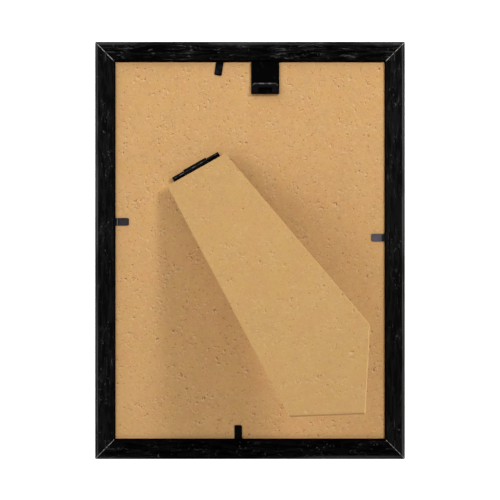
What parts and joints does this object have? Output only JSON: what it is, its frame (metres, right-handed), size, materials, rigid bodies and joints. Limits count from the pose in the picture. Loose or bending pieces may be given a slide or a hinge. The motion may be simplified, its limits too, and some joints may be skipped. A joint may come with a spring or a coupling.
{
  "type": "easel back photo frame",
  "caption": "Black mitred photo frame seen from the back, with a hinged board strut, bendable tabs and a wall hanger.",
  "frame": {"origin": "middle of the front face, which is the face that the frame lies on in its stored pose, face down", "axes": "+X across the frame to the right as seen from its back, +Y up the frame towards its hanger, +Z out of its back"},
  "size_m": [0.147, 0.198, 0.0851],
  "materials": {
    "black_moulding": "black stained, fine grain",
    "backing_board": "raw pressed fibreboard",
    "strut_board": "raw pressed fibreboard, smoother face",
    "black_steel": "black lacquer",
    "tab_steel": "thin black lacquer, worn",
    "bright_steel": "bare wire and strip",
    "clear_glass": "polished",
    "plain_paper": "plain, unprinted"
  },
  "bodies": {
    "frame": {"rail_top": "black_moulding", "rail_bottom": "black_moulding", "rail_left": "black_moulding", "rail_right": "black_moulding", "corner_wedge_top_left": "bright_steel", "corner_wedge_top_right": "bright_steel", "corner_wedge_bottom_left": "bright_steel", "corner_wedge_bottom_right": "bright_steel", "glazing": "clear_glass", "picture_insert": "plain_paper", "backboard": "backing_board", "hinge_board_leaf": "black_steel", "hinge_pin": "bright_steel", "hanger_plate": "black_steel", "tab_bottom_shank": "tab_steel", "tab_right_shank": "tab_steel", "tab_top_shank": "tab_steel", "tab_left_shank": "tab_steel"},
    "strut": {"strut_leg": "strut_board", "hinge_leg_leaf": "black_steel"},
    "tab_bottom": {"tab_bottom_blade": "tab_steel"},
    "tab_right": {"tab_right_blade": "tab_steel"},
    "tab_top": {"tab_top_blade": "tab_steel"},
    "tab_left": {"tab_left_blade": "tab_steel"}
  },
  "joints": [
    {"name": "strut_fold", "type": "hinge", "parent": "frame", "child": "strut", "pos_m": [-0.02565, 0.0397, 0.01145], "axis": [0.8721, 0.4894, 0], "range_deg": [0, 28]},
    {"name": "tab_bottom_bend", "type": "hinge", "parent": "frame", "child": "tab_bottom", "pos_m": [-0.0056, -0.08915, 0.01105], "axis": [1, 0, 0], "range_deg": [0, 85]},
    {"name": "tab_right_bend", "type": "hinge", "parent": "frame", "child": "tab_right", "pos_m": [0.06365, 0.0061, 0.01105], "axis": [0, 1, 0], "range_deg": [0, 85]},
    {"name": "tab_top_bend", "type": "hinge", "parent": "frame", "child": "tab_top", "pos_m": [-0.01432, 0.08916, 0.01105], "axis": [-0.9877, 0.1564, 0], "range_deg": [0, 85]},
    {"name": "tab_left_bend", "type": "hinge", "parent": "frame", "child": "tab_left", "pos_m": [-0.06365, 0.0136, 0.01105], "axis": [0, -1, 0], "range_deg": [0, 85]}
  ]
}
